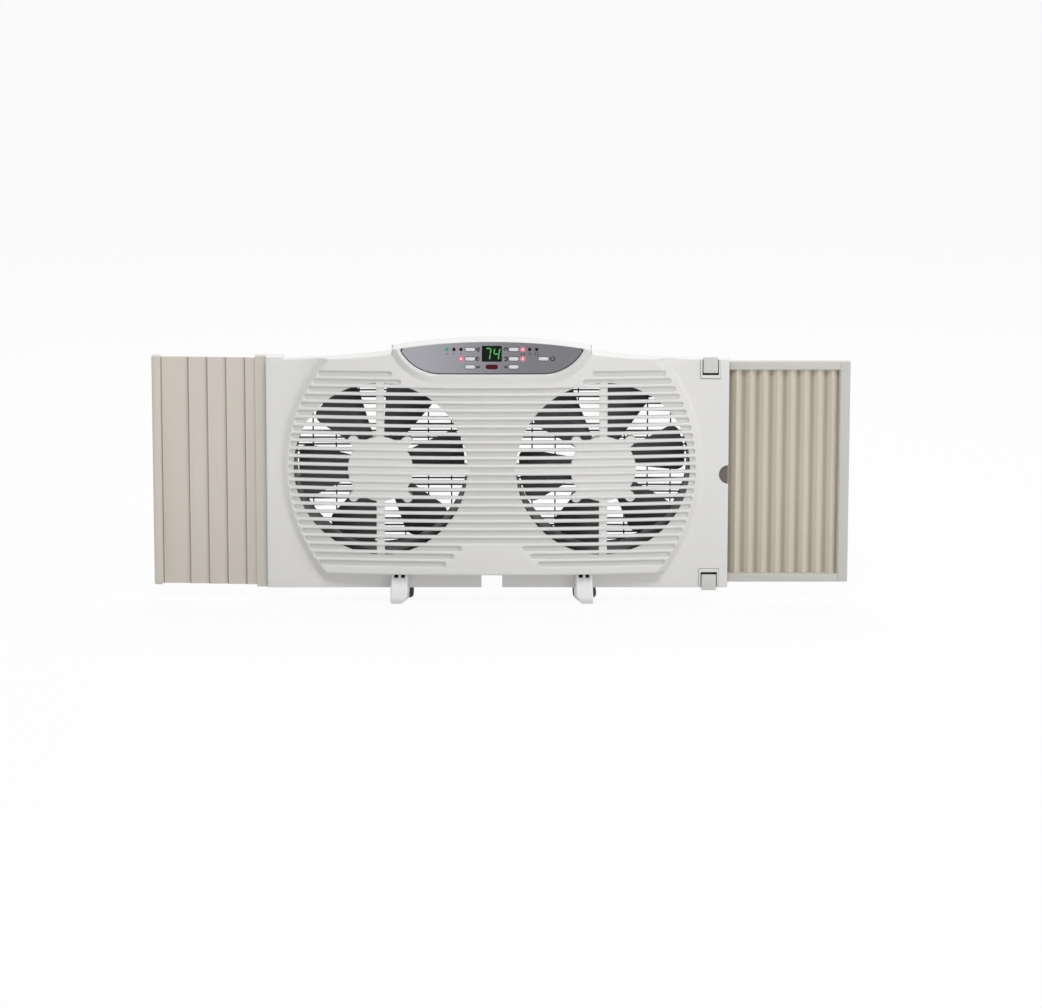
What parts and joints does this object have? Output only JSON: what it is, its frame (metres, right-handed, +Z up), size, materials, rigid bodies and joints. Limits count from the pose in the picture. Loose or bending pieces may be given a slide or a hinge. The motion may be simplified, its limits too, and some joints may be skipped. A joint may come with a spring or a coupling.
{
  "type": "window fan",
  "caption": "Twin-fan window ventilator with a domed bar grille, control panel, telescoping slat panel on one side and pleated sliding panel on the other.",
  "frame": {"origin": "middle of the flat underside of the housing, which rests on the window sill", "axes": "+X to the right as seen from the room, -Y the domed front, +Z up"},
  "size_m": [0.9436, 0.1014, 0.3642],
  "materials": {
    "bezel_white": "satin moulded, light grey white",
    "shell_white": "fine grained, light grey white",
    "guard_dark": "dark grey",
    "ring_grey": "dark grey",
    "blade_grey": "dark grey, satin",
    "motor_steel": "plated pressing",
    "copper_winding": "enamelled copper",
    "bronze": "sintered bronze",
    "shaft_steel": "ground",
    "zinc_screw": "zinc plated",
    "panel_grey": "mid grey, satin",
    "display_black": "smoked",
    "module_black": "black",
    "infrared_red": "dark red",
    "lamp_green": "lit green lens",
    "lamp_red": "lit red lens",
    "lamp_dark": "unlit lens",
    "button_white": "white, satin",
    "board_green": "solder mask",
    "transformer_steel": "laminated core",
    "capacitor_blue": "moulded case",
    "channel_beige": "grey beige",
    "slat_beige": "warm grey beige",
    "end_bar_beige": "grey beige",
    "frame_grey": "light grey",
    "curtain_beige": "thin ivory vinyl",
    "tab_grey": "light grey, textured",
    "foot_white": "pale grey white",
    "shoe_rubber": "black",
    "bush_rubber": "black"
  },
  "bodies": {
    "housing": {"front_bezel": "bezel_white", "rear_shell": "shell_white", "rear_plate": "shell_white", "rear_guards": "guard_dark", "left_air_ring": "ring_grey", "right_air_ring": "ring_grey", "left_motor_case": "motor_steel", "right_motor_case": "motor_steel", "left_stator": "copper_winding", "right_stator": "copper_winding", "left_bearings": "bronze", "right_bearings": "bronze", "motor_screws": "zinc_screw", "control_panel": "panel_grey", "display_window": "display_black", "display_module": "module_black", "infrared_window": "infrared_red", "green_indicator": "lamp_green", "red_indicators": "lamp_red", "dark_indicators": "lamp_dark", "button_switches": "module_black", "control_board": "board_green", "board_screws": "zinc_screw", "control_cover": "shell_white", "power_board": "board_green", "transformer": "transformer_steel", "fan_capacitors": "capacitor_blue", "left_channel": "channel_beige", "right_channel": "shell_white", "pleated_curtain": "curtain_beige", "left_foot": "foot_white", "right_foot": "foot_white", "left_foot_shoe": "shoe_rubber", "right_foot_shoe": "shoe_rubber", "case_screws": "zinc_screw", "cord_bush": "bush_rubber"},
    "left_fan": {"left_impeller": "blade_grey", "left_rotor_shaft": "shaft_steel", "left_impeller_nut": "zinc_screw"},
    "right_fan": {"right_impeller": "blade_grey", "right_rotor_shaft": "shaft_steel", "right_impeller_nut": "zinc_screw"},
    "left_end": {"left_slat_5": "slat_beige", "left_end_bar": "end_bar_beige"},
    "slat_4": {"left_slat_4": "slat_beige"},
    "slat_3": {"left_slat_3": "slat_beige"},
    "slat_2": {"left_slat_2": "slat_beige"},
    "slat_1": {"left_slat_1": "slat_beige"},
    "right_frame": {"right_upper_rail": "frame_grey", "right_lower_rail": "frame_grey", "right_end_stile": "frame_grey"},
    "upper_lock": {"upper_lock_tab": "tab_grey"},
    "lower_lock": {"lower_lock_tab": "tab_grey"},
    "left_top_button_body": {"left_top_button": "button_white"},
    "left_middle_button_body": {"left_middle_button": "button_white"},
    "left_bottom_button_body": {"left_bottom_button": "button_white"},
    "right_top_button_body": {"right_top_button": "button_white"},
    "right_middle_button_body": {"right_middle_button": "button_white"},
    "right_bottom_button_body": {"right_bottom_button": "button_white"},
    "power_button_body": {"power_button": "button_white"}
  },
  "joints": [
    {"name": "left_fan_spin", "type": "hinge", "parent": "housing", "child": "left_fan", "pos_m": [-0.15, 0, 0.147], "axis": [0, -1, 0], "continuous": true},
    {"name": "right_fan_spin", "type": "hinge", "parent": "housing", "child": "right_fan", "pos_m": [0.15, 0, 0.147], "axis": [0, -1, 0], "continuous": true},
    {"name": "left_panel_slide", "type": "slide", "parent": "housing", "child": "left_end", "axis": [1, 0, 0], "range_m": [0, 0.12]},
    {"name": "slat_4_slide", "type": "slide", "parent": "housing", "child": "slat_4", "axis": [1, 0, 0], "range_m": [0, 0.0944]},
    {"name": "slat_3_slide", "type": "slide", "parent": "housing", "child": "slat_3", "axis": [1, 0, 0], "range_m": [0, 0.0687]},
    {"name": "slat_2_slide", "type": "slide", "parent": "housing", "child": "slat_2", "axis": [1, 0, 0], "range_m": [0, 0.043]},
    {"name": "slat_1_slide", "type": "slide", "parent": "housing", "child": "slat_1", "axis": [1, 0, 0], "range_m": [0, 0.0173]},
    {"name": "right_panel_slide", "type": "slide", "parent": "housing", "child": "right_frame", "axis": [-1, 0, 0], "range_m": [0, 0.149], "deforming": ["pleated_curtain"]},
    {"name": "upper_lock_slide", "type": "slide", "parent": "housing", "child": "upper_lock", "axis": [0, 0, -1], "range_m": [0, 0.002]},
    {"name": "lower_lock_slide", "type": "slide", "parent": "housing", "child": "lower_lock", "axis": [0, 0, 1], "range_m": [0, 0.002]},
    {"name": "left_top_button_press", "type": "slide", "parent": "housing", "child": "left_top_button_body", "axis": [0, 1, 0], "range_m": [0, 0.0008], "stiffness_N_per_m": 900, "springref_m": -0.0003},
    {"name": "left_middle_button_press", "type": "slide", "parent": "housing", "child": "left_middle_button_body", "axis": [0, 1, 0], "range_m": [0, 0.0008], "stiffness_N_per_m": 900, "springref_m": -0.0003},
    {"name": "left_bottom_button_press", "type": "slide", "parent": "housing", "child": "left_bottom_button_body", "axis": [0, 1, 0], "range_m": [0, 0.0008], "stiffness_N_per_m": 900, "springref_m": -0.0003},
    {"name": "right_top_button_press", "type": "slide", "parent": "housing", "child": "right_top_button_body", "axis": [0, 1, 0], "range_m": [0, 0.0008], "stiffness_N_per_m": 900, "springref_m": -0.0003},
    {"name": "right_middle_button_press", "type": "slide", "parent": "housing", "child": "right_middle_button_body", "axis": [0, 1, 0], "range_m": [0, 0.0008], "stiffness_N_per_m": 900, "springref_m": -0.0003},
    {"name": "right_bottom_button_press", "type": "slide", "parent": "housing", "child": "right_bottom_button_body", "axis": [0, 1, 0], "range_m": [0, 0.0008], "stiffness_N_per_m": 900, "springref_m": -0.0003},
    {"name": "power_button_press", "type": "slide", "parent": "housing", "child": "power_button_body", "axis": [0, 1, 0], "range_m": [0, 0.0008], "stiffness_N_per_m": 900, "springref_m": -0.0003}
  ],
  "couplings": [
    {"joint": "slat_4_slide", "follows": "left_panel_slide", "ratio": 0.78583},
    {"joint": "slat_3_slide", "follows": "left_panel_slide", "ratio": 0.57167},
    {"joint": "slat_2_slide", "follows": "left_panel_slide", "ratio": 0.3575},
    {"joint": "slat_1_slide", "follows": "left_panel_slide", "ratio": 0.14333}
  ]
}
